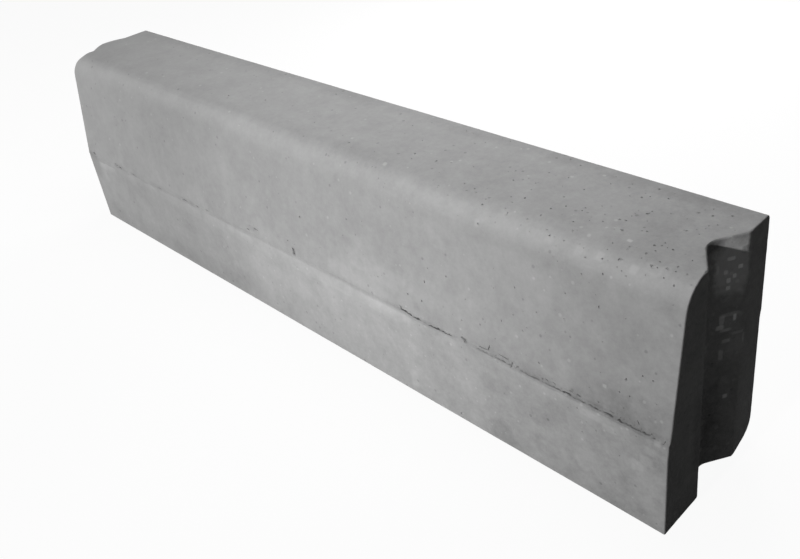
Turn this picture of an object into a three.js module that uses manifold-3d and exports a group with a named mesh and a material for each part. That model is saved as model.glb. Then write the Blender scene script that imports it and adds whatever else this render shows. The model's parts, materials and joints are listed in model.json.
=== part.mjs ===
// Concrete road kerb stone, 1000 x 150 x 250 mm, with a tongue-and-groove butt joint.
//
// The stone is one cast piece. Its section is an upright foot band, a small ledge, a battered
// face with a rounded nose, a level top, a back with a slight step, and a chamfered heel.
// One end has a rounded vee groove over its full height, and the other end the matching tongue,
// which is smaller all round so that a mortar bed fits between two stones.
//
// Frame, in millimetres: +X along the stone towards the grooved end, +Y from the road face to the
// back, +Z up. The origin is on the base, midway over the length with the tongue, and midway
// across the width.

import * as THREE from "three";
import { mergeVertices, toCreasedNormals } from "three/addons/utils/BufferGeometryUtils.js";
import Module from "manifold-3d";

// Overall sizes
const LENGTH = 1000; // between the two end faces, without the tongue
const WIDTH = 150; // at the base, toe to back
const HEIGHT = 250;

// Road face, from the base up
const TOE_RADIUS = 2;
const BAND_HEIGHT = 105; // foot band below the ledge
const BAND_DRAFT = 2.5; // how far the band leans back over its height
const LEDGE_DEPTH = 3.5;
const LEDGE_RISE = 2.5;
const LEDGE_RADIUS = 2; // both corners of the ledge
const BATTER = 20.5; // how far the face leans back from the ledge to the top
const NOSE_RADIUS = 30;

// Back, from the top down
const CROWN_RADIUS = 4;
const BACK_BAND_HEIGHT = 96; // upper band, above the step
const BACK_STEP_DEPTH = 1.5;
const BACK_STEP_DROP = 8;
const BACK_STEP_RADIUS = 6;
const HEEL_WIDTH = 34; // chamfer between the back and the base
const HEEL_RISE = 15;
const HEEL_RADIUS = 24; // at the back
const HEEL_FOOT_RADIUS = 50; // at the base

// End joint
const JOINT_FROM_BACK = 65; // centre line of tongue and groove
const FLANK_ANGLE = THREE.MathUtils.degToRad(33); // flanks against the end face
const GROOVE_DEPTH = 17.2;
const GROOVE_FLOOR_RADIUS = 16;
const TONGUE_CREST_RADIUS = 44;
const MORTAR_GAP = 2.5; // between the flanks when the end faces touch
const MOUTH_RADIUS = 7; // lips of the groove and root of the tongue

// Edges of the end faces, of the groove and of the tongue
const ARRIS = 1.5;

// Modelling detail
const ARC_STEP = THREE.MathUtils.degToRad(6); // largest turn between two points of a fillet
const ARRIS_STEPS = 3;
const CUTTER_OVERRUN = 0.5; // how far a cutter passes the faces that it cuts
const TONGUE_EMBED = 12; // how deep the tongue's block is set into the body
const WELD_DISTANCE = 1e-4;
const CREASE_ANGLE = THREE.MathUtils.degToRad(30);

// ---------------------------------------------------------------------------
// Outlines
// ---------------------------------------------------------------------------

// Closed outline through [x, y, fillet radius] corners. Two fillets that would overlap on the
// edge between them share that edge in proportion to their size.
function filletedShape(corners) {
  const wrap = (i) => (i + corners.length) % corners.length;
  const points = corners.map(([x, y]) => new THREE.Vector2(x, y));
  const edges = points.map((point, i) => points[wrap(i + 1)].clone().sub(point));
  const turns = edges.map((edge, i) => {
    const before = edges[wrap(i - 1)];
    return Math.atan2(before.cross(edge), before.dot(edge));
  });
  const tangents = corners.map(([, , radius = 0], i) => radius * Math.abs(Math.tan(turns[i] / 2)));
  const outline = points.flatMap((corner, i) => {
    const [before, after] = [edges[wrap(i - 1)], edges[i]];
    const share = Math.min(
      1,
      before.length() / (tangents[wrap(i - 1)] + tangents[i]),
      after.length() / (tangents[i] + tangents[wrap(i + 1)]),
    );
    const tangent = tangents[i] * share;
    if (!tangent) return [corner];
    const start = corner.clone().addScaledVector(before.clone().normalize(), -tangent);
    const end = corner.clone().addScaledVector(after.clone().normalize(), tangent);
    const toCentre = start.clone().add(end).multiplyScalar(0.5).sub(corner).normalize();
    const centre = corner.clone().addScaledVector(toCentre, tangent / Math.abs(Math.sin(turns[i] / 2)));
    // an even number of steps, so that the middle of a fillet is a point of the outline
    const steps = 2 * Math.max(1, Math.ceil(Math.abs(turns[i]) / ARC_STEP / 2));
    return Array.from({ length: steps + 1 }, (_, step) =>
      start.clone().rotateAround(centre, (turns[i] * step) / steps),
    );
  });
  return new THREE.Shape(outline);
}

// Cross-section of the stone, x from the middle towards the back and y up.
function kerbSection() {
  const toe = -WIDTH / 2;
  const bandTop = toe + BAND_DRAFT;
  const batterFoot = bandTop + LEDGE_DEPTH;
  const back = WIDTH / 2;
  const lowerBack = back - BACK_STEP_DEPTH;
  const stepTop = HEIGHT - BACK_BAND_HEIGHT;
  return filletedShape([
    [toe, 0, TOE_RADIUS],
    [lowerBack - HEEL_WIDTH, 0, HEEL_FOOT_RADIUS],
    [lowerBack, HEEL_RISE, HEEL_RADIUS],
    [lowerBack, stepTop - BACK_STEP_DROP, BACK_STEP_RADIUS],
    [back, stepTop, BACK_STEP_RADIUS],
    [back, HEIGHT, CROWN_RADIUS],
    [batterFoot + BATTER, HEIGHT, NOSE_RADIUS],
    [batterFoot, BAND_HEIGHT + LEDGE_RISE, LEDGE_RADIUS],
    [bandTop, BAND_HEIGHT, LEDGE_RADIUS],
  ]);
}

// Plan of a vee, x across the stone and y along it, with the end face at y = 0. The flanks rise
// to a sharp apex that the tip radius then rounds, and blend into a slab behind the end face.
function veePlan(apex, tipRadius, slabDepth) {
  const mouth = apex / Math.tan(FLANK_ANGLE);
  const slab = mouth + MOUTH_RADIUS * Math.tan(FLANK_ANGLE / 2) + ARRIS;
  return filletedShape([
    [-slab, -slabDepth],
    [slab, -slabDepth],
    [slab, 0],
    [mouth, 0, MOUTH_RADIUS],
    [0, apex, tipRadius],
    [-mouth, 0, MOUTH_RADIUS],
    [-slab, 0],
  ]);
}

// How far a rounded tip stays short of the sharp apex.
function apexLoss(tipRadius) {
  return tipRadius * (1 / Math.cos(FLANK_ANGLE) - 1);
}

// ---------------------------------------------------------------------------
// Solids
// ---------------------------------------------------------------------------

const wasm = await Module();
wasm.setup();

function solidOf(geometry) {
  geometry.deleteAttribute("normal");
  geometry.deleteAttribute("uv");
  const merged = mergeVertices(geometry, WELD_DISTANCE);
  return new wasm.Manifold(
    new wasm.Mesh({
      numProp: 3,
      vertProperties: new Float32Array(merged.attributes.position.array),
      triVerts: new Uint32Array(merged.index.array),
    }),
  );
}

function geometryOf(solid) {
  const mesh = solid.getMesh();
  const geometry = new THREE.BufferGeometry();
  geometry.setAttribute("position", new THREE.BufferAttribute(mesh.vertProperties, 3));
  geometry.setIndex(new THREE.BufferAttribute(mesh.triVerts, 1));
  return toCreasedNormals(geometry, CREASE_ANGLE);
}

// Extrudes an outline over the whole span, with both end outlines drawn in and rounded.
function extrudeWithArrises(shape, span) {
  const geometry = new THREE.ExtrudeGeometry(shape, {
    depth: span - 2 * ARRIS,
    bevelThickness: ARRIS,
    bevelSize: ARRIS,
    bevelOffset: -ARRIS,
    bevelSegments: ARRIS_STEPS,
  });
  return geometry.translate(0, 0, ARRIS);
}

// The section extruded from end face to end face.
function bodySolid() {
  const sectionToStone = new THREE.Matrix4().makeBasis(
    new THREE.Vector3(0, 1, 0),
    new THREE.Vector3(0, 0, 1),
    new THREE.Vector3(1, 0, 0),
  );
  const geometry = extrudeWithArrises(kerbSection(), LENGTH).applyMatrix4(sectionToStone);
  return solidOf(geometry.translate(-LENGTH / 2, 0, 0));
}

// Stands an extruded plan on the joint's centre line, pointing towards -X from the end face.
function standAtJoint(geometry, endFace) {
  return geometry.rotateZ(Math.PI / 2).translate(endFace, WIDTH / 2 - JOINT_FROM_BACK, 0);
}

const grooveApex = GROOVE_DEPTH + apexLoss(GROOVE_FLOOR_RADIUS);
const tongueApex = grooveApex - MORTAR_GAP / Math.cos(FLANK_ANGLE);
const tongueHeight = tongueApex - apexLoss(TONGUE_CREST_RADIUS);

// Cutter for the groove. It flares towards the top and the base, which breaks the groove's edges.
function grooveCutter() {
  const flare = ARRIS + CUTTER_OVERRUN;
  const geometry = new THREE.ExtrudeGeometry(
    veePlan(grooveApex, GROOVE_FLOOR_RADIUS, CUTTER_OVERRUN),
    {
      depth: HEIGHT - 2 * ARRIS,
      bevelThickness: flare,
      bevelSize: -flare,
      bevelOffset: flare,
      bevelSegments: 1,
    },
  );
  return solidOf(standAtJoint(geometry.translate(0, 0, ARRIS), LENGTH / 2));
}

function tongueSolid() {
  const plan = veePlan(tongueApex, TONGUE_CREST_RADIUS, TONGUE_EMBED);
  return solidOf(standAtJoint(extrudeWithArrises(plan, HEIGHT), -LENGTH / 2));
}

// ---------------------------------------------------------------------------
// The stone
// ---------------------------------------------------------------------------

const concrete = new THREE.MeshStandardMaterial({
  name: "concrete",
  color: 0xa3a3a2,
  roughness: 0.92,
  metalness: 0,
});

const stone = new THREE.Mesh(
  geometryOf(bodySolid().add(tongueSolid()).subtract(grooveCutter())),
  concrete,
);
stone.name = "kerb_stone";

const kerb = new THREE.Group();
kerb.name = "kerb";
kerb.position.x = tongueHeight / 2;
kerb.add(stone);

export default kerb;
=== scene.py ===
import json
import math
import random

import bpy
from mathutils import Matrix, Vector, noise

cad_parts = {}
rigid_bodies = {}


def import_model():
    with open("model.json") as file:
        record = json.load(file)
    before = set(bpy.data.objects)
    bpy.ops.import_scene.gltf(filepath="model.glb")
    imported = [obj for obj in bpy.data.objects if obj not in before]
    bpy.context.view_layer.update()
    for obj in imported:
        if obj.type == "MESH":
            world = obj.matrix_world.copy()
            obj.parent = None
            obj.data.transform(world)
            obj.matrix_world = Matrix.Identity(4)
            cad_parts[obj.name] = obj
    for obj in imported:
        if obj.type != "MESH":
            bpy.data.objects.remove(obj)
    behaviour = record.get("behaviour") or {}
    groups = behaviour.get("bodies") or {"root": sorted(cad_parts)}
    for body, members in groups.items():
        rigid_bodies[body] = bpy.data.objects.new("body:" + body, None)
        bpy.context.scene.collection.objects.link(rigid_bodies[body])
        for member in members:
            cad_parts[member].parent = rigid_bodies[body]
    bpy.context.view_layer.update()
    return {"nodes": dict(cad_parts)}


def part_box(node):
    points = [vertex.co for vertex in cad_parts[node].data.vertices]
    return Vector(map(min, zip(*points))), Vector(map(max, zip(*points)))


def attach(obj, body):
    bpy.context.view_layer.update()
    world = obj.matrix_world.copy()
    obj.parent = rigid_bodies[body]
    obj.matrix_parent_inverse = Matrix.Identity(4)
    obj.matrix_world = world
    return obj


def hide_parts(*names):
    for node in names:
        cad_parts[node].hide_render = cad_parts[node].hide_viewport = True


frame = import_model()


# ---------------------------------------------------------------------------
# The kerb stone: one piece of grey concrete, pressed in a steel mould with the road face against
# the plate. The plate leaves the faces smooth and faintly wavy, and the ends a little rougher.
# ---------------------------------------------------------------------------

MM = 0.001
GRID = 5 * MM  # spacing of the cuts that let the faces bend
WELD = 0.01 * MM  # corners that lie closer than this are one
FLAT = math.radians(0.5)  # faces that meet at less than this are one

low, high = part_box("kerb_stone")
band_top = 105 * MM  # the foot band ends here in the ledge
batter_foot = 107.5 * MM  # and the battered face starts here
ledge_zone = (86.25 * MM, 111 * MM)  # here the cuts lie closer


def select_only(piece):
    bpy.ops.object.select_all(action="DESELECT")
    piece.select_set(True)
    bpy.context.view_layer.objects.active = piece


def cut_across(axis, places):
    """Cuts the mesh by planes across one axis, at places along it."""
    normal = [0, 0, 0]
    normal[axis] = 1
    for place in places:
        bpy.ops.mesh.select_all(action="SELECT")
        bpy.ops.mesh.bisect(plane_co=[place * n for n in normal], plane_no=normal)


def every(start, end, step):
    """The places from start to end, a step apart, without the start."""
    count = int((end - start) / step)
    return [start + step * (i + 1) for i in range(count)]


cast = frame["nodes"]["kerb_stone"]
stone = bpy.data.objects.new("pressed_kerb_stone", cast.data.copy())
bpy.context.scene.collection.objects.link(stone)
stone.data.materials.clear()
select_only(stone)
bpy.ops.object.mode_set(mode="EDIT")
bpy.ops.mesh.select_all(action="SELECT")
bpy.ops.mesh.remove_doubles(threshold=WELD)
bpy.ops.mesh.dissolve_limited(angle_limit=FLAT)
cut_across(2, every(low.z, high.z, GRID) + every(*ledge_zone, GRID / 2))
cut_across(1, every(low.y, high.y, GRID))
cut_across(0, every(low.x, high.x, GRID))
bpy.ops.object.mode_set(mode="OBJECT")


def ramp(value, stops):
    """Follows straight lines between (place, height) stops, level beyond both ends."""
    if value <= stops[0][0]:
        return stops[0][1]
    for (x0, y0), (x1, y1) in zip(stops, stops[1:]):
        if value <= x1:
            return y0 + (y1 - y0) * (value - x0) / (x1 - x0)
    return stops[-1][1]


def sink(stone, name, depth, weight, direction="NORMAL", grain=None, grain_detail=2):
    """Presses the surface in by up to the depth, as far as the weight of each point allows."""
    group = stone.vertex_groups.new(name=name)
    for vertex in stone.data.vertices:
        share = weight(vertex.co, vertex.normal)
        if share > 0:
            group.add([vertex.index], share, "REPLACE")
    press = stone.modifiers.new(name, "DISPLACE")
    press.vertex_group = group.name
    press.direction = direction
    press.strength = depth if direction != "NORMAL" else -depth
    press.mid_level = 0
    if grain:
        waves = bpy.data.textures.new(name, "CLOUDS")
        waves.noise_scale = grain
        waves.noise_depth = grain_detail
        press.texture = waves
        press.texture_coords = "LOCAL"
    select_only(stone)
    bpy.ops.object.modifier_apply(modifier=press.name)
    stone.vertex_groups.remove(stone.vertex_groups[name])


end_facing = [(0.3, 0), (0.6, 1)]  # by the share of a normal that points along the stone
END_CALM = 0.7  # share of the waves that the ends are spared


def end_share(place, normal):
    """1 on the end faces, the groove and the tongue, and nothing on the long faces."""
    return ramp(abs(normal.x), end_facing)


def long_share(place, normal):
    """1 on the long faces, and less on the ends."""
    return 1 - END_CALM * end_share(place, normal)


sink(stone, "plate_waves", depth=0.32 * MM, weight=long_share, grain=120 * MM)
sink(stone, "plate_ripples", depth=0.12 * MM, weight=long_share, grain=22 * MM)
sink(stone, "end_face_grit", depth=0.35 * MM, weight=end_share, grain=9 * MM, grain_detail=3)


# ---------------------------------------------------------------------------
# The ledge between the foot band and the battered face, where two plates of the mould met. The
# upper plate stood out a little at the far end, so the ledge runs out there. Most of its length is
# rubbed down to a slope, and the near part is crisp, with a ragged slit at its root.
# ---------------------------------------------------------------------------

PLATE_OFFSET = 3.6 * MM  # how far the upper plate stood out at the far end
offset_run = [(low.x, 1), (200 * MM, 0)]
offset_height = [(band_top, 0), (batter_foot, 1), (235 * MM, 0)]
offset_reach = [(3 * MM, 1), (25 * MM, 0)]  # it dies away behind the face
# the road face in section, as (z, y) points
FACE_LINE = [(0, -75 * MM), (band_top, -72.5 * MM), (batter_foot, -69 * MM), (245 * MM, -49 * MM)]


def plate_offset(x, z):
    return PLATE_OFFSET * ramp(x, offset_run) * ramp(z, offset_height)


def road_face_y(x, z):
    """How deep the road face lies, from the toe to the nose."""
    return ramp(z, FACE_LINE) - plate_offset(x, z)


def offset_share(place, normal):
    behind_face = place.y - ramp(place.z, FACE_LINE)
    return plate_offset(place.x, place.z) / PLATE_OFFSET * ramp(behind_face, offset_reach)


sink(stone, "plate_offset", depth=-PLATE_OFFSET, weight=offset_share, direction="Y")

RUB = 3.3 * MM  # depth of the rubbed slope where the ledge is full
rub_height = [(89 * MM, 0), (103 * MM, 0.9), (band_top, 0.95), (106.3 * MM, 0.48), (batter_foot, 0)]
rub_run = [(low.x, 0), (-440 * MM, 0.03), (-330 * MM, 0.15), (-200 * MM, 0.34), (-118 * MM, 0.48),
           (-108 * MM, 0.6), (0 * MM, 0.75), (100 * MM, 0.95), (150 * MM, 1), (191 * MM, 0.95),
           (199 * MM, 0.7), (203 * MM, 0.1), (225 * MM, 0.06), (242 * MM, 0.4), (256 * MM, 0.4),
           (275 * MM, 0.12), (380 * MM, 0.1), (392 * MM, 0.3), (400 * MM, 0.1), (494 * MM, 0.05),
           (high.x, 0.4)]
RUB_UNEVENNESS = 0.2  # share by which the rubbing goes deeper or less deep
RUB_PATCHES = (28, 60)  # patches of that per metre, along the stone and up it
ROAD_SIDE = -55 * MM  # the foot band and the ledge lie in front of this
ROAD_FACING = -0.3  # the y of a normal that turns far enough to the road


def rubbed_edge(place, normal):
    if place.y > ROAD_SIDE or normal.y > ROAD_FACING:
        return 0
    wear = ramp(place.x, rub_run) * ramp(place.z, rub_height)
    unevenness = noise.noise(Vector((place.x * RUB_PATCHES[0], 0, place.z * RUB_PATCHES[1])))
    return max(0, min(1, wear * (1 + RUB_UNEVENNESS * unevenness)))


sink(stone, "rubbed_ledge", depth=RUB, weight=rubbed_edge, direction="Y")

# the far end of the nose has lost its edge
WORN_NOSE = 8 * MM
worn_run = [(low.x + 9 * MM, 1), (-455 * MM, 0)]
worn_width = [(-52 * MM, 0), (-44 * MM, 0.25), (-34 * MM, 0.9), (-18 * MM, 1), (-10 * MM, 0.65),
              (5 * MM, 0)]
worn_height = [(212 * MM, 0), (246 * MM, 1)]


def worn_nose(place, normal):
    return ramp(place.x, worn_run) * ramp(place.y, worn_width) * ramp(place.z, worn_height)


sink(stone, "worn_nose", depth=WORN_NOSE, weight=worn_nose, direction="X")


def start_cutter(name):
    """Opens an empty mesh in edit mode, for shapes that carve() then cuts out of the stone."""
    mesh = bpy.data.meshes.new(name)
    cutter = bpy.data.objects.new(name, mesh)
    bpy.context.scene.collection.objects.link(cutter)
    select_only(cutter)
    bpy.ops.object.mode_set(mode="EDIT")
    return cutter


TUBE_SIDES = 6
TUBE_RADIUS = 1 * MM  # of the first ring, before a station gives it its own size
TUBE_SWING = (0.8, 1.2)  # every ring is so much smaller or larger than its station says
TUBE_ROUGHNESS = 0.25 * MM


def add_slit(stations, across="X", seed=0):
    """Draws a rough tube through (x, y, z, half height, half depth) stations along an axis."""
    chance = random.Random(seed)
    turn = {"X": (0, math.pi / 2, 0), "Z": (0, 0, 0)}[across]
    bpy.ops.mesh.select_all(action="DESELECT")
    bpy.ops.mesh.primitive_circle_add(vertices=TUBE_SIDES, radius=TUBE_RADIUS, fill_type="NGON",
                                      location=stations[0][:3], rotation=turn)
    last = Vector(stations[0][:3])
    last_size = Vector((1, 1))
    for step, (x, y, z, half_height, half_depth) in enumerate(stations):
        place = Vector((x, y, z))
        if step:
            bpy.ops.mesh.extrude_region_move(TRANSFORM_OT_translate={"value": place - last})
        size = Vector((half_height / TUBE_RADIUS, half_depth / TUBE_RADIUS)) * chance.uniform(*TUBE_SWING)
        grow = Vector((size.x / last_size.x, size.y / last_size.y))
        value = (1, grow.y, grow.x) if across == "X" else (grow.x, grow.y, 1)
        bpy.ops.transform.resize(value=value, center_override=place)
        last, last_size = place, size
    bpy.ops.mesh.select_linked()
    bpy.ops.transform.vertex_random(offset=TUBE_ROUGHNESS, seed=seed)


def carve(stone, cutter):
    """Cuts what has been drawn in the cutter out of the stone, and clears the cutter away."""
    bpy.ops.mesh.select_all(action="SELECT")
    bpy.ops.mesh.normals_make_consistent(inside=False)
    bpy.ops.object.mode_set(mode="OBJECT")
    cut = stone.modifiers.new(cutter.name, "BOOLEAN")
    cut.operation = "DIFFERENCE"
    cut.solver = "MANIFOLD"
    cut.object = cutter
    select_only(stone)
    bpy.ops.object.modifier_apply(modifier=cut.name)
    mesh = cutter.data
    bpy.data.objects.remove(cutter)
    bpy.data.meshes.remove(mesh)


# stretches of the slit: from x, to x, height above the base, half height, in mm
SLIT_RUNS = [
    (185, 219, 105.6, 0.85), (221.5, 262, 105.3, 0.80), (293, 337, 106.0, 0.36),
    (347.5, 372, 105.9, 0.42), (373, 423, 106.0, 0.58), (424, 438, 106.0, 0.50),
    (439, 452, 106.0, 0.52), (453.5, 487, 106.0, 0.58), (488, 495, 105.9, 0.50),
]
SLIT_STEP = 2.2  # mm between the stations of the slit
SLIT_END = 0.4  # share of its height at both ends of a stretch
SLIT_SWELL = (0.85, 1.15)  # and between them
SLIT_STRAY = 0.35  # mm that a station strays up or down
SLIT_DEPTHS = (0.85, 1.1)  # shares of the half depth
SLIT_HALF_DEPTH = 5.5 * MM
slit_y = -66.6 * MM
seam = start_cutter("ledge_seam")
for number, (start, end, height, half_height) in enumerate(SLIT_RUNS):
    chance = random.Random(100 + number)
    steps = int((end - start) / SLIT_STEP)
    stations = []
    for i in range(steps + 1):
        taper = SLIT_END if i in (0, steps) else chance.uniform(*SLIT_SWELL)
        z = (height + chance.uniform(-SLIT_STRAY, SLIT_STRAY)) * MM
        stations.append(((start + SLIT_STEP * i) * MM, slit_y, z, half_height * taper * MM,
                         SLIT_HALF_DEPTH * chance.uniform(*SLIT_DEPTHS)))
    add_slit(stations, seed=200 + number)
carve(stone, seam)


def on_road_face(x, z, sunk):
    """A place on the road face from x and z, or so far behind it. It takes mm and gives metres."""
    return x * MM, road_face_y(x * MM, z * MM) + sunk * MM, z * MM


# twigs and hooks beside the slit, as (x, z, half height, half depth) stations in mm
TWIGS = [
    [(184.5, 109.6, 0.5, 1.5), (187.5, 107.8, 0.7, 1.6)],
    [(272, 108.6, 0.9, 1.6), (277, 107.6, 1.1, 2.0), (281, 106.4, 0.8, 1.6)],
    [(296, 108.2, 0.5, 1.2), (301, 108.4, 0.7, 1.5), (306.5, 109.2, 0.8, 1.6)],
    [(320, 110.2, 0.5, 1.2), (326, 110, 0.6, 1.4), (332, 109.6, 0.6, 1.3)],
    [(342, 106.0, 0.7, 1.6), (345, 107.8, 0.6, 1.4)],
    [(376, 109.0, 0.5, 1.2), (379, 108.2, 0.7, 1.4)],
    [(384, 109.2, 0.5, 1.2), (387, 108.4, 0.6, 1.3)],
    [(402.5, 109.4, 0.8, 1.5), (406, 109.0, 0.8, 1.5)],
    [(411, 109.6, 0.6, 1.3), (414.5, 108.6, 0.7, 1.4)],
    [(445, 109.4, 0.6, 1.2), (449, 108.8, 0.7, 1.3)],
]
# tears that run upwards
TEARS = [
    [(307.2, 109.2, 0.7, 1.6), (308.4, 115.0, 0.5, 1.3)],
    [(337.5, 104.6, 0.6, 1.5), (336.6, 108.9, 0.6, 1.5)],
    [(472.2, 113.2, 0.5, 1.1), (474.2, 109.8, 0.5, 1.1)],
    [(499.4, 104.4, 0.6, 1.3), (499.8, 107.0, 0.5, 1.3)],
    [(6.2, 115.2, 1.3, 1.6), (7.2, 111.5, 2.4, 2.8), (8.8, 107.9, 1.4, 1.8)],
]
TWIG_SUNK = 0.2  # mm that the middle of a twig or a tear lies behind the face
torn = start_cutter("torn_spots")
for spots, across, seed in ((TWIGS, "X", 300), (TEARS, "Z", 340)):
    for number, spot in enumerate(spots):
        stations = [(*on_road_face(x, z, TWIG_SUNK), half_height * MM, half_depth * MM)
                    for x, z, half_height, half_depth in spot]
        add_slit(stations, across=across, seed=seed + number)

# the root of the rubbed half of the ledge is torn here and there, less sharply: x, z, length and
# half height in mm
FAR_TEARS = [
    (-411, 110.2, 8, 1.5), (-399, 108.4, 6, 1.4), (-362, 107.6, 6, 0.5),
    (-291, 106.8, 10, 0.7), (-226, 107.4, 9, 1.0), (-196, 107.4, 7, 0.6),
    (-174, 108.6, 5, 0.8), (-66, 116.0, 9, 1.1), (-83, 111.0, 6, 0.6), (-476, 111.0, 8, 1.6),
]
FAR_TEAR_SWELL = [(-0.5, 0.5), (-0.15, 1), (0.2, 0.9), (0.5, 0.4)]  # shares of length and height
FAR_TEAR_DROP = 0.6  # mm from end to end
FAR_TEAR_SUNK = 0.5  # mm behind the face
FAR_TEAR_HALF_DEPTH = 1.1 * MM
for number, (x, z, length, half_height) in enumerate(FAR_TEARS):
    stations = []
    for share, swell in FAR_TEAR_SWELL:
        middle = on_road_face(x + length * share, z - FAR_TEAR_DROP * share, FAR_TEAR_SUNK)
        stations.append((*middle, half_height * swell * MM, FAR_TEAR_HALF_DEPTH))
    add_slit(stations, seed=360 + number)
carve(stone, torn)


# ---------------------------------------------------------------------------
# Air holes and chips in the skin of the concrete, thickest towards the grooved end, where the mix
# was filled in last. Crumbs have broken out along the slit.
# ---------------------------------------------------------------------------

HOLE_FLATNESS = 0.25  # share by which a hole is shallower than it is wide
HOLE_ROUGHNESS = 0.3  # share of its size by which its corners stray
HOLE_ROOM = 1.9  # how many times its size it keeps free of others
HOLE_STRETCH = (0.75, 1.35)  # it is stretched or squeezed so much along each axis


def add_hole(place, normal, size, stretch, seed):
    """Sets a rough pebble in the surface, flattened along the normal, to be cut out of the stone."""
    bpy.ops.mesh.select_all(action="DESELECT")
    bpy.ops.mesh.primitive_ico_sphere_add(subdivisions=1, radius=size, location=place)
    flattened = [s * (1 - HOLE_FLATNESS * abs(n)) for s, n in zip(stretch, normal)]
    bpy.ops.transform.resize(value=flattened, center_override=place)
    bpy.ops.transform.vertex_random(offset=size * HOLE_ROUGHNESS, seed=seed)


def free_of(place, size, taken):
    return all((place - other).length > size + other_size for other, other_size in taken)


def drill(stone, name, wanted, seed):
    """Cuts holes of (place, normal, size), and leaves out those that would meet an earlier one."""
    chance = random.Random(seed)
    cutter = start_cutter(name)
    taken = []
    for number, (place, normal, size) in enumerate(wanted):
        stretch = [chance.uniform(*HOLE_STRETCH) for axis in range(3)]
        if free_of(place, size * HOLE_ROOM, taken):
            taken.append((place, size * HOLE_ROOM))
            add_hole(place, normal, size, stretch, seed=seed + number)
    carve(stone, cutter)


# the larger ones, all in mm: on the road face by x, height and half width
FRONT_HOLES = [
    (26, 160, 1.5), (-2, 122, 1.2), (154, 131, 1.5), (160, 135, 1.0), (223, 151, 1.6), (261, 129, 1.1),
    (297, 133, 1.7), (316, 125, 1.2), (337, 159, 1.3), (427, 203, 1.4), (493, 230, 1.3), (278, 106.8, 1.3),
    (282, 105.2, 1.2), (274, 108.6, 0.9), (-153, 20, 1.6), (-118, 29, 1.5), (302, 18, 1.5), (335, 27, 1.3),
]
# and on the top by x, y and half width
TOP_HOLES = [
    (466, -36.5, 2.6), (471, -36, 1.8), (461, -38, 1.5), (438, -40, 2.5), (441, -37, 1.3), (318, -12, 1.6),
    (340, -35.5, 1.6), (477, -34, 1.9), (484, -34, 1.4), (438, -30, 1.2), (461, 16, 1.6), (465, 19, 1.2),
    (422, 22, 1.5), (426, 24, 1.2), (385, -31, 1.4), (419, -10, 1.5), (481, 56, 1.4), (289, -37, 1.4),
    (357, -4, 1.3), (346, 8, 1.2), (456, 46, 1.4), (232, -34.5, 1.2), (453, -15, 1.2), (349, -15, 1.3),
    (217, -18, 1.1), (173, 6, 1.0), (306, -17, 1.0), (413, 4, 1.1), (125, 24, 0.9), (454, -28, 1.3),
    (386, -7, 1.2), (307, 36, 0.9), (367, 48, 1.0), (76, -21, 0.9), (437, -1, 1.1), (262, 27, 0.9),
    (131, 59, 0.9), (393, 39, 1.0), (309, 14, 0.9), (402, 50, 1.0), (448, -3, 1.1), (260, -27, 0.8),
]
NOSE_CENTRE = Vector((0, -22.5, 220))
NOSE_RADIUS = 30


def top_hole(x, y, half):
    """A hole in the level top or, past the nose's centre, in the rounded nose."""
    across = min(0, y - NOSE_CENTRE.y)
    rise = math.sqrt(NOSE_RADIUS ** 2 - across ** 2)
    return Vector((x, y, NOSE_CENTRE.z + rise)) * MM, Vector((0, across, rise)).normalized(), half * MM


OUT = Vector((0, -1, 0))
placed = [(Vector(on_road_face(x, z, 0)), OUT, half * MM) for x, z, half in FRONT_HOLES]
placed += [top_hole(*hole) for hole in TOP_HOLES]
drill(stone, "placed_holes", placed, seed=500)

chance = random.Random(77)
CRUMB_COUNT = 130
CRUMB_FOOT = 107.4  # mm above the base
CRUMB_SPREAD = 2.2  # mm upwards
CRUMB_SIZES = (0.4, 0.85)  # half widths in mm
crumb_run = [(186 * MM, 0.3), (262 * MM, 0.5), (345 * MM, 1.4), (425 * MM, 2.2), (495 * MM, 2.0)]
crumb_places = range(190, 496)  # mm along the stone
crumb_weights = [ramp(x * MM, crumb_run) for x in crumb_places]
crumbs = []
for number in range(CRUMB_COUNT):
    x = chance.choices(crumb_places, crumb_weights)[0] * MM
    z = (CRUMB_FOOT + abs(chance.gauss(0, CRUMB_SPREAD))) * MM
    crumbs.append((Vector((x, road_face_y(x, z), z)), OUT, chance.uniform(*CRUMB_SIZES) * MM))
drill(stone, "slit_crumbs", crumbs, seed=700)

crowd_run = [(-500 * MM, 0.10), (0, 0.22), (200 * MM, 0.5), (300 * MM, 1.6), (500 * MM, 3.0)]
BAND_CROWD = 0.5  # air holes on the foot band, for each one on the battered face
NOSE_CROWD = 4
TOP_CROWD = 2.2
end_margin = 497 * MM  # there are none beyond this
foot_margin = 6 * MM  # or below this
ledge_margin = (98 * MM, 112 * MM)  # kept clear of the slit
nose_foot = 232 * MM  # the nose and the top lie above this
nose_back = -25 * MM  # and the nose lies in front of this
LONG_FACING = 0.3  # a long face's normal has less than this along the stone
BASE_FACING = -0.5  # the base's normal has a z below this


def crowd(face):
    """How thickly the air holes lie around a face. The ends, the base and the ledge have none."""
    x, y, z = face.center
    on_long_face = abs(face.normal.x) < LONG_FACING and face.normal.z > BASE_FACING
    if not on_long_face or abs(x) > end_margin or z < foot_margin:
        return 0
    if y < 0 and ledge_margin[0] < z < ledge_margin[1]:
        return 0
    place_share = 1
    if z < ledge_margin[0] and y < 0:
        place_share = BAND_CROWD
    elif z > nose_foot:
        place_share = NOSE_CROWD if y < nose_back else TOP_CROWD
    return ramp(x, crowd_run) * place_share


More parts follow.
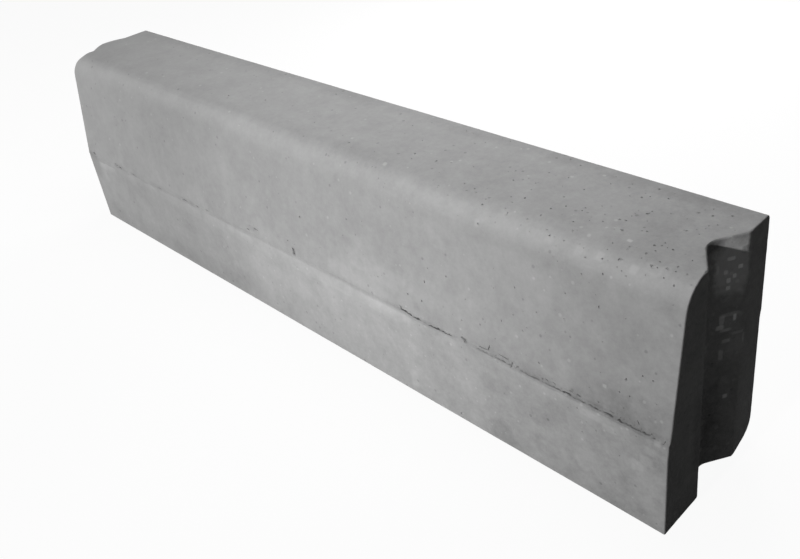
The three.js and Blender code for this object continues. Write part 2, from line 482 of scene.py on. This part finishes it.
# two layers of small holes: seed, count, smallest half width and what the largest has more, in mm
AIR_HOLES = [(41, 270, 0.5, 0.85), (42, 90, 0.6, 0.7)]
faces = list(stone.data.polygons)
weights = [face.area * crowd(face) for face in faces]
layers = []
for seed, count, smallest, spread in AIR_HOLES:
    chance = random.Random(seed)
    layer = []
    for face in chance.choices(faces, weights, k=count):
        half = (smallest + spread * chance.random() ** 2) * MM
        layer.append((Vector(face.center), Vector(face.normal), half))
    layers.append(layer)
for number, layer in enumerate(layers):
    drill(stone, "air_holes", layer, seed=1000 + 500 * number)

# splinters that the cuts have left loose fall out: all that doesn't hang together with the base
select_only(stone)
bpy.ops.object.mode_set(mode="EDIT")
bpy.ops.mesh.select_all(action="DESELECT")
bpy.ops.object.mode_set(mode="OBJECT")
min(stone.data.vertices, key=lambda vertex: vertex.co.z).select = True
bpy.ops.object.mode_set(mode="EDIT")
bpy.ops.mesh.select_linked()
bpy.ops.mesh.select_all(action="INVERT")
bpy.ops.mesh.delete(type="VERT")
bpy.ops.object.mode_set(mode="OBJECT")

SHARP = math.radians(35)  # edges sharper than this stay sharp
bpy.ops.object.shade_smooth_by_angle(angle=SHARP)
even = stone.modifiers.new("even_shading", "WEIGHTED_NORMAL")
even.keep_sharp = True
bpy.ops.object.modifier_apply(modifier=even.name)


# ---------------------------------------------------------------------------
# The skin of the concrete: dry grey cement, cloudy and a little sandy. The rubbed ledge is paler,
# the foot is stained by splashes, and the ends show more of the sand.
# ---------------------------------------------------------------------------

def put(tree, kind, feeds, **settings):
    """Adds a node, and fills its sockets with values or with the outputs of other nodes."""
    node = tree.nodes.new(kind)
    for name, value in settings.items():
        setattr(node, name, value)
    for socket, feed in feeds.items():
        if isinstance(feed, bpy.types.NodeSocket):
            tree.links.new(feed, node.inputs[socket])
        else:
            node.inputs[socket].default_value = feed
    return node


def calc(tree, operation, *feeds):
    """Adds one sum, and gives its result."""
    return put(tree, "ShaderNodeMath", dict(enumerate(feeds)), operation=operation).outputs[0]


def start_group(name, takes, gives):
    """Opens a node group. Each socket it takes or gives is a name and a kind."""
    group = bpy.data.node_groups.new(name, "ShaderNodeTree")
    for direction, sockets in (("INPUT", takes), ("OUTPUT", gives)):
        for socket, kind in sockets.items():
            group.interface.new_socket(socket, in_out=direction, socket_type="NodeSocket" + kind)
    return group, group.nodes.new("NodeGroupInput").outputs, group.nodes.new("NodeGroupOutput").inputs


def use_group(tree, group, **feeds):
    """Adds a node group, and gives its outputs."""
    return put(tree, "ShaderNodeGroup", feeds, node_tree=group).outputs


# cement and sand: clouds of several sizes, added up around zero. Each is a name, how many to the
# metre, how much lighter or darker it goes, and which of the two strengths scales it.
CLOUDS = [("Grain", 620, 0.08, "Fine"), ("Sand", 290, 0.10, "Fine"), ("Mottle", 140, 0.075, "Coarse"),
          ("Patches", 62, 0.09, "Coarse"), ("Drifts", 24, 0.11, "Coarse"), ("Sweeps", 7, 0.06, "Coarse")]
sandy_tone, takes, gives = start_group(
    "sandy_tone", {"Place": "Vector", "Fine": "Float", "Coarse": "Float"},
    {"Tone": "Float", "Grit": "Float"})
total = None
grit = None
for name, per_metre, swing, strength in CLOUDS:
    cloud = put(sandy_tone, "ShaderNodeTexNoise",
                {"Vector": takes["Place"], "Scale": per_metre, "Detail": 1.5}, name=name)
    centred = calc(sandy_tone, "SUBTRACT", cloud.outputs["Fac"], 0.5)
    part = calc(sandy_tone, "MULTIPLY", calc(sandy_tone, "MULTIPLY", centred, swing * 2), takes[strength])
    total = part if total is None else calc(sandy_tone, "ADD", total, part)
    if name == "Sand":
        grit = total
sandy_tone.links.new(total, gives["Tone"])
sandy_tone.links.new(grit, gives["Grit"])

# specks: small dots scattered in cells, of which only a share is filled
SMALLEST_DOT = 0.4  # share of the size, and the largest has 1 more
DOT_EDGE = (0.7, 1.2)  # a dot fades between these shares of its own size
specks, takes, gives = start_group(
    "specks", {"Place": "Vector", "Cells": "Float", "Size": "Float", "Share": "Float"}, {"Mask": "Float"})
cells = put(specks, "ShaderNodeTexVoronoi",
            {"Vector": takes["Place"], "Scale": takes["Cells"], "Randomness": 1})
luck = put(specks, "ShaderNodeSeparateColor", {"Color": cells.outputs["Color"]})
own_size = calc(specks, "MULTIPLY", takes["Size"], calc(specks, "ADD", luck.outputs["Green"], SMALLEST_DOT))
dot = put(specks, "ShaderNodeMapRange",
          {"Value": calc(specks, "DIVIDE", cells.outputs["Distance"], own_size),
           "From Min": DOT_EDGE[0], "From Max": DOT_EDGE[1], "To Min": 1, "To Max": 0})
chosen = calc(specks, "LESS_THAN", luck.outputs["Red"], takes["Share"])
specks.links.new(calc(specks, "MULTIPLY", dot.outputs["Result"], chosen), gives["Mask"])

# a patch, used for wear and dirt and also for painted shade and highlight: a rounded block with a frayed
# edge, at one place on the stone
PATCH_FRAYS = 85  # to the metre
patch, takes, gives = start_group(
    "patch", {"Place": "Vector", "Centre": "Vector", "Size": "Vector", "Fray": "Float", "Edge": "Float"},
    {"Mask": "Float"})
away = put(patch, "ShaderNodeVectorMath", {0: takes["Place"], 1: takes["Centre"]}, operation="SUBTRACT")
egg = put(patch, "ShaderNodeVectorMath", {0: away.outputs[0], 1: takes["Size"]}, operation="DIVIDE")
squared = put(patch, "ShaderNodeVectorMath", {0: egg.outputs[0], 1: egg.outputs[0]}, operation="MULTIPLY")
length = put(patch, "ShaderNodeVectorMath", {0: squared.outputs[0]}, operation="LENGTH")
reach = calc(patch, "SQRT", length.outputs["Value"])
fray = put(patch, "ShaderNodeTexNoise", {"Vector": takes["Place"], "Scale": PATCH_FRAYS, "Detail": 3})
drift = calc(patch, "MULTIPLY", calc(patch, "SUBTRACT", fray.outputs["Fac"], 0.5), takes["Fray"])
frayed = calc(patch, "ADD", reach, drift)
faded = put(patch, "ShaderNodeMapRange",
            {"Value": frayed, "From Min": calc(patch, "SUBTRACT", 1, takes["Edge"]),
             "From Max": calc(patch, "ADD", 1, takes["Edge"]), "To Min": 1, "To Max": 0},
            interpolation_type="SMOOTHSTEP")
patch.links.new(faded.outputs["Result"], gives["Mask"])

# a pale strip along the road face: it fades in from its foot and from its far end, and ends
# sharply at its top and at its near end
STRIP_FRAYS = 60  # to the metre
STRIP_STRAY = 6  # how many times farther its ends stray than its top
TOP_EDGE = 0.9 * MM  # half the height over which it ends at its top
FAR_FADE = 40 * MM
NEAR_FADE = 8 * MM
strip, takes, gives = start_group(
    "strip", {"Place": "Vector", "From": "Float", "To": "Float", "Foot": "Float", "Top": "Float",
              "Fray": "Float"}, {"Mask": "Float"})
fray = put(strip, "ShaderNodeTexNoise", {"Vector": takes["Place"], "Scale": STRIP_FRAYS, "Detail": 3})
drift = calc(strip, "MULTIPLY", calc(strip, "SUBTRACT", fray.outputs["Fac"], 0.5), takes["Fray"])
where = put(strip, "ShaderNodeSeparateXYZ", {"Vector": takes["Place"]}).outputs
run = calc(strip, "MULTIPLY_ADD", drift, STRIP_STRAY, where["X"])
height = calc(strip, "ADD", drift, where["Z"])
product = 1.0
over_top = calc(strip, "ADD", takes["Top"], TOP_EDGE)
under_top = calc(strip, "SUBTRACT", takes["Top"], TOP_EDGE)
for value, none_at, full_at in (
        (height, takes["Foot"], takes["Top"]),
        (height, over_top, under_top),
        (run, takes["From"], calc(strip, "ADD", takes["From"], FAR_FADE)),
        (run, takes["To"], calc(strip, "SUBTRACT", takes["To"], NEAR_FADE))):
    rise = put(strip, "ShaderNodeMapRange", {"Value": value, "From Min": none_at, "From Max": full_at},
               interpolation_type="SMOOTHSTEP").outputs["Result"]
    product = calc(strip, "MULTIPLY", rise, product)
road_side = calc(strip, "LESS_THAN", where["Y"], 0.0)
strip.links.new(calc(strip, "MULTIPLY", product, road_side), gives["Mask"])

# strips: from x, to x, foot, top, how much lighter, fray, all lengths in mm
STRIPS = [
    (-150, 205, 80, 103, 0.055, 1.5), (90, 205, 90, 101.2, 0.07, 1.5), (112, 206, 92, 100.8, 0.06, 1.5),
    (-485, -418, 86, 101, 0.17, 7), (-400, -296, 90, 104, 0.09, 7), (-315, -190, 84, 104, 0.09, 6),
    (-195, -112, 88, 104, 0.11, 3), (-135, -76, 91, 101.5, 0.13, 2), (-60, 50, 94, 102.4, 0.05, 2),
    (185, 275, 91, 103.4, 0.06, 5), (300, 500, 91, 103.6, 0.09, 6),
]

# patches of the long faces: (x, y, z of the centre), (half sizes), how much lighter or darker,
# fray, edge, all lengths in mm
FACE_PATCHES = [
    # the pale middle of the foot band
    ((70, -72, 86), (160, 30, 32), 0.10, 0.7, 0.75), ((0, -72, 55), (225, 30, 38), 0.05, 0.7, 0.75),
    # chalk on the far part of the ledge, and painted shade along the seam at the root of its rubbed part
    ((-460, -72, 96), (9, 12, 5), 0.10, 1.0, 0.4), ((-458, -73, 80), (5, 12, 9), 0.10, 1.2, 0.4),
    ((40, -69, 107), (152, 10, 3.4), -0.035, 0.6, 0.6), ((130, -70, 104.2), (72, 12, 2.2), -0.08, 0.4, 0.5),
    # painted shade in the slit, and the face just above it darker
    ((222, -70, 105.3), (42, 12, 2.2), -0.08, 0.7, 0.5), ((232, -67, 113), (44, 15, 9), -0.08, 0.8, 0.6),
    ((315, -69, 108.5), (26, 12, 3), -0.06, 1.0, 0.5), ((423, -70, 106.4), (80, 12, 3), -0.11, 1.0, 0.5),
    # chalky blotches over the ledge
    ((138, -66, 124), (56, 20, 18), 0.07, 1.6, 0.45), ((90, -66, 118), (24, 20, 9), 0.06, 1.6, 0.35),
    ((160, -64, 138), (27, 20, 13), 0.05, 1.6, 0.35), ((118, -63, 140), (14, 20, 11), 0.06, 1.4, 0.3),
    ((-242, -66, 124), (60, 20, 14), 0.05, 1.0, 0.6),
    # splashes on the toe
    ((-440, -75, 6), (250, 20, 24), -0.08, 0.9, 0.6), ((440, -75, 6), (115, 20, 27), -0.12, 0.9, 0.6),
    ((-153, -74, 18), (24, 20, 11), -0.07, 1.2, 0.5), ((-258, -74, 16), (31, 20, 9), -0.05, 1.2, 0.5),
    ((-118, -74, 29), (13, 20, 11), -0.05, 1.2, 0.5), ((318, -74, 14), (17, 20, 13), -0.10, 1.3, 0.4),
    # the near part of the foot band is dull and blotched
    ((310, -73, 72), (20, 20, 10), -0.08, 1.6, 0.4), ((420, -73, 60), (64, 20, 31), -0.05, 1.8, 0.6),
    ((205, -73, 62), (11, 20, 7), 0.07, 1.4, 0.4), ((196, -74, 22), (6, 20, 11), 0.12, 1.4, 0.4),
    ((428, -72, 97), (13, 20, 3.6), 0.12, 1.4, 0.4), ((488, -72, 90), (7, 20, 4.5), 0.10, 1.4, 0.4),
    ((484, -73, 78), (6, 20, 5), 0.14, 1.4, 0.4), ((476, -73, 67), (7, 20, 5.5), 0.14, 1.4, 0.4),
    ((446, -73, 92), (6, 20, 4), 0.12, 1.4, 0.4), ((345, -73, 88), (9, 20, 6), 0.06, 1.6, 0.4),
    ((372, -73, 62), (12, 20, 9), -0.07, 1.6, 0.4), ((255, -73, 70), (14, 20, 8), -0.05, 1.6, 0.4),
    ((430, -74, 40), (50, 20, 25), 0.04, 1.0, 0.7),
    # the far part of the ledge is darker above its edge, and so is one tear, and a thin dark rim runs down
    # the stone's far end
    ((-402, -70, 108.8), (14, 15, 3), -0.15, 0.7, 0.5), ((-361, -70, 107.5), (9, 15, 2.5), -0.10, 1.4, 0.5),
    ((-300, -70, 108), (17, 15, 3), -0.08, 1.4, 0.5), ((-226, -70, 108), (22, 15, 3), -0.10, 1.4, 0.5),
    ((-484, -71, 107.5), (12, 15, 4.5), -0.10, 0.8, 0.5), ((-484, -72, 92), (14, 20, 18), -0.08, 0.8, 0.5),
    ((-76, -68, 115), (10, 15, 3), -0.12, 1.3, 0.5), ((-505, -68, 125), (3.5, 30, 128), -0.20, 0.6, 0.6),
    # the near end is darker, most of all the lower corner of the face over the slit, and the strip just over
    # the slit carries painted shade of the slit
    ((490, -66, 100), (52, 30, 105), -0.06, 0.9, 0.8), ((484, -73, 90), (15, 20, 15), -0.08, 0.8, 0.5),
    ((470, -66, 116), (54, 20, 15), -0.13, 1.0, 0.7), ((380, -67, 110), (74, 15, 5), -0.08, 1.2, 0.6),
    ((380, -65, 120), (60, 20, 12), -0.04, 1.0, 0.7),
    # painted shade: the level top is darker than the highlit nose, and darker still along the back and at
    # the near corner
    ((0, 30, 250), (2000, 72, 30), -0.03, 0.16, 0.05), ((0, 72, 250), (700, 15, 20), -0.08, 0.8, 0.6),
    ((400, 72, 250), (160, 15, 20), -0.03, 0.8, 0.6), ((485, 20, 250), (60, 60, 20), -0.09, 0.9, 0.6),
    # the battered face is a little paler short of the near end
    ((300, -58, 165), (110, 30, 60), 0.04, 0.9, 0.7), ((310, -56, 213), (90, 20, 26), 0.04, 0.9, 0.7),
    # painted shade: the top is darkest just behind the nose, where it meets the nose
    ((0, -34.5, 248), (700, 5, 9), -0.04, 0.6, 0.5), ((432, -29, 249), (64, 9, 7), -0.045, 0.9, 0.5),
    # the near part of the nose is pale, and the middle of it is darker; along its whole length the nose has
    # a faint painted highlight
    ((395, -43, 243), (108, 20, 11), 0.08, 0.9, 0.6), ((60, -40, 247), (118, 18, 10), -0.05, 1.0, 0.7),
    ((0, -43, 244), (2000, 12, 8), 0.02, 0.4, 0.5),
    # bare sand and chips are pale, and the large tear is dark
    ((433, -20, 250), (2.4, 1.8, 4), 0.32, 1.2, 0.4), ((466, -38, 245), (6, 5, 5), 0.12, 2.4, 0.4),
    ((452, -42, 242), (3.5, 3, 4), 0.15, 1.8, 0.4), ((155, -32, 249), (2.2, 2, 3), 0.24, 1.4, 0.4),
    ((420, -42, 242), (4, 3, 4), 0.12, 1.8, 0.4), ((400, -44, 241), (3.5, 3, 4), 0.09, 1.8, 0.4),
    ((291, -49, 234), (2.5, 3, 3), 0.12, 1.6, 0.4), ((477, -36, 247), (4, 4, 4), 0.08, 2.4, 0.4),
    ((369, -43, 242), (4, 3, 4), 0.06, 1.8, 0.4), ((461, 19, 250), (5, 4, 4), 0.06, 2.4, 0.4),
    ((494, -72, 103), (3, 9, 3), 0.18, 1.2, 0.4), ((438, -65, 131), (1.7, 9, 1.5), 0.28, 0.6, 0.4),
    ((7.5, -68, 111.5), (3.2, 10, 5), -0.24, 0.6, 0.4),
]
# patches of the ends: lime high on the groove's rear flank, which also paints the light there; painted
# shadow at the edge of the sunlit patch atop the groove; darker low in the groove and in front of it; a
# paler strip behind it
END_PATCHES = [
    ((497, 30, 219), (14, 13, 24), 1.05, 1.0, 0.35), ((497, 28, 243), (16, 16, 9), 0.08, 0.6, 0.5),
    # painted shadow along the lower edge of the sunlit patch at the top of the groove
    ((490, 13.5, 246), (9, 8, 5.5), -0.45, 0.8, 0.4), ((503, 40, 235), (5, 3.5, 3.2), -0.80, 0.8, 0.4),
    ((504, 60, 130), (8, 13, 130), 0.15, 0.8, 0.6), ((504, -55, 40), (8, 25, 60), -0.10, 0.9, 0.6),
    ((492, 10, 45), (14, 16, 48), -0.40, 0.9, 0.6), ((504, -20, 75), (7, 12, 52), -0.38, 0.9, 0.6),
    ((498, 33, 189), (8, 5, 8), 0.15, 1.4, 0.5), ((496, 24, 100), (14, 12, 90), -0.12, 0.8, 0.6),
    # what is left of a blister of lime below that, and smaller crumbs of lime
    ((494, 24.6, 167), (4, 1.9, 5), 0.95, 1.4, 0.4), ((493, 23.6, 160.5), (4, 3, 2.3), 1.15, 1.2, 0.4),
    ((496, 28, 156.5), (4, 4, 1.6), 0.80, 1.2, 0.4), ((498, 30.5, 172.5), (8, 7, 1.8), 0.50, 1.6, 0.4),
    ((500, 34.5, 168), (4, 1.2, 3.2), 2.20, 0.6, 0.4), ((499, 32, 165), (8, 8, 9), 0.30, 1.2, 0.5),
    ((501, 38, 151), (5, 5, 1.6), 0.50, 1.2, 0.4), ((504, 43.5, 144), (4, 1.6, 5), 0.45, 1.2, 0.4),
    ((496.4, 28.8, 144.7), (4, 3.4, 2), 0.75, 1.0, 0.4), ((493.7, 25.5, 130), (4, 1.8, 5.5), 0.65, 1.0, 0.4),
    ((497.3, 31, 81), (4, 1.8, 2.2), 1.10, 0.8, 0.4), ((497, 30, 86), (6, 5, 7), 0.12, 1.4, 0.5),
    ((496.5, 29.5, 99), (6, 4, 5), 0.20, 1.4, 0.5), ((500, 36, 138), (8, 9, 14), 0.22, 1.0, 0.6),
]
# and the stones that show in the lime: y and z, half width, half height, how much lighter
END_STONES = [(28.9, 228.7, 2.7, 1.8, 1.3), (36.1, 219.3, 1.7, 2.1, 1.9), (25.3, 216.4, 1.6, 2.3, 1.0),
              (32.1, 211.2, 1.3, 2.1, 1.7), (27.8, 207.6, 1.5, 2.4, 1.9), (34.5, 205, 1.3, 1.5, 0.4),
              (27.7, 200.3, 1.5, 2.0, 1.4), (29.7, 214, 1.3, 1.8, 0.4), (19.2, 220.5, 1.0, 4.0, 0.5)]
STONE_X = 496
STONE_HALF_DEPTH = 12
STONE_FRAY = 0.7
STONE_EDGE = 0.3
for y, z, half, half_height, change in END_STONES:
    END_PATCHES.append(((STONE_X, y, z), (STONE_HALF_DEPTH, half, half_height), change,
                        STONE_FRAY, STONE_EDGE))


def concrete_skin(name, cement_light, grains, dots, patches, strips, bump_height, bump_strength):
    """Mixes one finish of the same concrete, with its own clouds, dots, patches and strips."""
    material = bpy.data.materials.new(name)
    material.use_nodes = True
    tree = material.node_tree
    skin = tree.nodes["Principled BSDF"]
    skin.inputs["Roughness"].default_value = 0.9
    skin.inputs["Specular IOR Level"].default_value = 0.05
    place = put(tree, "ShaderNodeTexCoord", {}).outputs["Object"]
    where = put(tree, "ShaderNodeSeparateXYZ", {"Vector": place}).outputs
    strengths = []
    for far, near, foot, top, top_share in grains:
        graded = put(tree, "ShaderNodeMapRange",
                     {"Value": where["X"], "From Min": low.x, "From Max": high.x,
                      "To Min": far, "To Max": near})
        levelled = put(tree, "ShaderNodeMapRange",
                       {"Value": where["Z"], "From Min": foot, "From Max": top,
                        "To Min": 1, "To Max": top_share})
        strengths.append(calc(tree, "MULTIPLY", graded.outputs["Result"], levelled.outputs["Result"]))
    fine, coarse = strengths
    cement = use_group(tree, sandy_tone, Place=place, Fine=fine, Coarse=coarse)
    tone = calc(tree, "ADD", cement["Tone"], 1)
    for cells, size, share, change in dots:
        mask = use_group(tree, specks, Place=place, Cells=cells, Size=size,
                         Share=calc(tree, "MULTIPLY", fine, share))["Mask"]
        tone = calc(tree, "MULTIPLY_ADD", mask, change, tone)
    for centre, size, change, fray_by, edge in patches:
        mask = use_group(tree, patch, Place=place, Centre=[c * MM for c in centre],
                         Size=[s * MM for s in size], Fray=fray_by, Edge=edge)["Mask"]
        tone = calc(tree, "MULTIPLY_ADD", mask, change, tone)
    for start, end, foot, top, change, fray_by in strips:
        mask = use_group(tree, strip, Place=place, From=start * MM, To=end * MM, Foot=foot * MM,
                         Top=top * MM, Fray=fray_by * MM)["Mask"]
        tone = calc(tree, "MULTIPLY_ADD", mask, change, tone)
    tree.links.new(calc(tree, "MULTIPLY", tone, cement_light), skin.inputs["Base Color"])
    bump = put(tree, "ShaderNodeBump", {"Height": cement["Grit"], "Distance": bump_height,
                                        "Strength": bump_strength})
    tree.links.new(bump.outputs["Normal"], skin.inputs["Normal"])
    return material


# dots: cells to the metre, size in the cell, share of the cells, how much lighter or darker
PIN_HOLES = (190, 0.26, 0.08, -0.22)
BARE_SAND = (170, 0.24, 0.10, 0.20)
GRAVEL = (150, 0.30, 0.16, 0.22)
# how strong the fine clouds and the coarse clouds are at the far end and at the near end, and
# between which heights they fade to what share
PRESSED_GRAINS = ((0.36, 0.95, 95 * MM, 115 * MM, 0.7), (0.85, 1.45, 100 * MM, 250 * MM, 0.65))
ROUGH_GRAINS = ((1.4, 1.5, 0, high.z, 1), (1.4, 1.5, 0, high.z, 1))
pressed = concrete_skin("pressed_concrete", cement_light=0.37, grains=PRESSED_GRAINS,
                        dots=(PIN_HOLES, BARE_SAND), patches=FACE_PATCHES, strips=STRIPS,
                        bump_height=0.6 * MM, bump_strength=0.5)
rough = concrete_skin("rough_concrete", cement_light=0.25, grains=ROUGH_GRAINS,
                      dots=(PIN_HOLES, GRAVEL), patches=END_PATCHES, strips=(),
                      bump_height=1.2 * MM, bump_strength=0.8)

stone.data.materials.clear()  # the cuts leave an empty slot behind
stone.data.materials.append(pressed)
stone.data.materials.append(rough)
END_FACING = 0.5  # an end's normal has more than this along the stone
for face in stone.data.polygons:
    end_or_base = abs(face.normal.x) > END_FACING or face.normal.z < BASE_FACING
    face.material_index = 1 if end_or_base else 0

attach(stone, "root")
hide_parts("kerb_stone")


# ---------------------------------------------------------------------------
# The studio: a white paper floor, a low window in front, soft lamps on the left, on the right,
# overhead and behind, and one lamp that brightens the middle of the road face.
# ---------------------------------------------------------------------------

FLOOR_SIZE = 14
PAPER_TO_LIGHT = (0.10, 0.10, 0.10, 1)  # what the paper throws back onto the stone
PAPER_TO_EYE = (0.90, 0.90, 0.90, 1)
PAPER_GLOW = 0.94  # share of its own white in what is seen of it, the rest being lit and shaded
AIR_TO_LIGHT = 0.029  # how strongly the white air lights the stone
AIR_TO_EYE = 1.0


def to_eye(tree):
    """1 for what is seen, also in a gloss or through glass, and 0 for what gives light."""
    ray = put(tree, "ShaderNodeLightPath", {}).outputs
    seen = calc(tree, "MAXIMUM", ray["Is Camera Ray"], ray["Is Glossy Ray"])
    return calc(tree, "MAXIMUM", seen, ray["Is Transmission Ray"])


bpy.ops.mesh.primitive_plane_add(size=FLOOR_SIZE, location=(0, 0, 0))
floor = bpy.context.object
floor.name = "studio_floor"
paper = bpy.data.materials.new("white_paper")
paper.use_nodes = True
tree = paper.node_tree
sheet = tree.nodes["Principled BSDF"]
sheet.inputs["Roughness"].default_value = 1
sheet.inputs["Specular IOR Level"].default_value = 0
seen = to_eye(tree)
tint = put(tree, "ShaderNodeMix", {"Factor": seen, "A": PAPER_TO_LIGHT, "B": PAPER_TO_EYE}, data_type="RGBA")
tree.links.new(tint.outputs["Result"], sheet.inputs["Base Color"])
glow = put(tree, "ShaderNodeEmission", {"Strength": 1.0})
mix = put(tree, "ShaderNodeMixShader",
          {"Fac": calc(tree, "MULTIPLY", seen, PAPER_GLOW), 1: sheet.outputs["BSDF"],
           2: glow.outputs["Emission"]})
tree.links.new(mix.outputs["Shader"], tree.nodes["Material Output"].inputs["Surface"])
floor.data.materials.append(paper)

world = bpy.data.worlds.new("studio_air")
bpy.context.scene.world = world
world.use_nodes = True
tree = world.node_tree
air = tree.nodes["Background"]
air.inputs["Color"].default_value = (1, 1, 1, 1)
strength = put(tree, "ShaderNodeMix", {"Factor": to_eye(tree), "A": AIR_TO_LIGHT, "B": AIR_TO_EYE})
tree.links.new(strength.outputs["Result"], air.inputs["Strength"])


def place_lamp(name, kind, place, target, power):
    """Hangs a lamp at a place and points it at the target."""
    light = bpy.data.lights.new(name, kind)
    light.energy = power
    lamp = bpy.data.objects.new(name, light)
    bpy.context.scene.collection.objects.link(lamp)
    lamp.location = place
    lamp.rotation_euler = (Vector(target) - Vector(place)).to_track_quat("-Z", "Y").to_euler()
    return light


place_lamp("low_window", "SUN", (-0.13, -2.50, 0.74), (0, 0, 0), 1.87).angle = math.radians(3)
place_lamp("left_softbox", "AREA", (-1.2, -0.9, 0.35), (0, 0, 0.13), 5.0).size = 0.4
place_lamp("overhead_softbox", "AREA", (0.1, 0.2, 1.2), (0, 0, 0.2), 6.15).size = 0.6
place_lamp("back_left_softbox", "AREA", (-0.4, 1.2, 0.5), (0, 0, 0.2), 15).size = 0.5
place_lamp("right_softbox", "AREA", (1.7, -2.1, 0.45), (0.5, 0, 0.13), 2.3).size = 0.5
front = place_lamp("middle_spot", "SPOT", (0.1, -1.4, 0.5), (0.1, 0, 0.1), 20)
front.spot_size = math.radians(30)
front.spot_blend = 1
front.shadow_soft_size = 0.05

camera = bpy.data.cameras.new("camera")
camera.sensor_width = 36
camera.lens = 39.763
camera.shift_x = -0.0723
camera.shift_y = -0.0308
view = bpy.data.objects.new("camera", camera)
bpy.context.scene.collection.objects.link(view)
view.location = (0.7739, -0.5192, 0.6384)
view.rotation_euler = [math.radians(a) for a in (56.903, 6.401, 43.316)]
bpy.context.scene.camera = view
bpy.context.scene.view_settings.view_transform = "Standard"
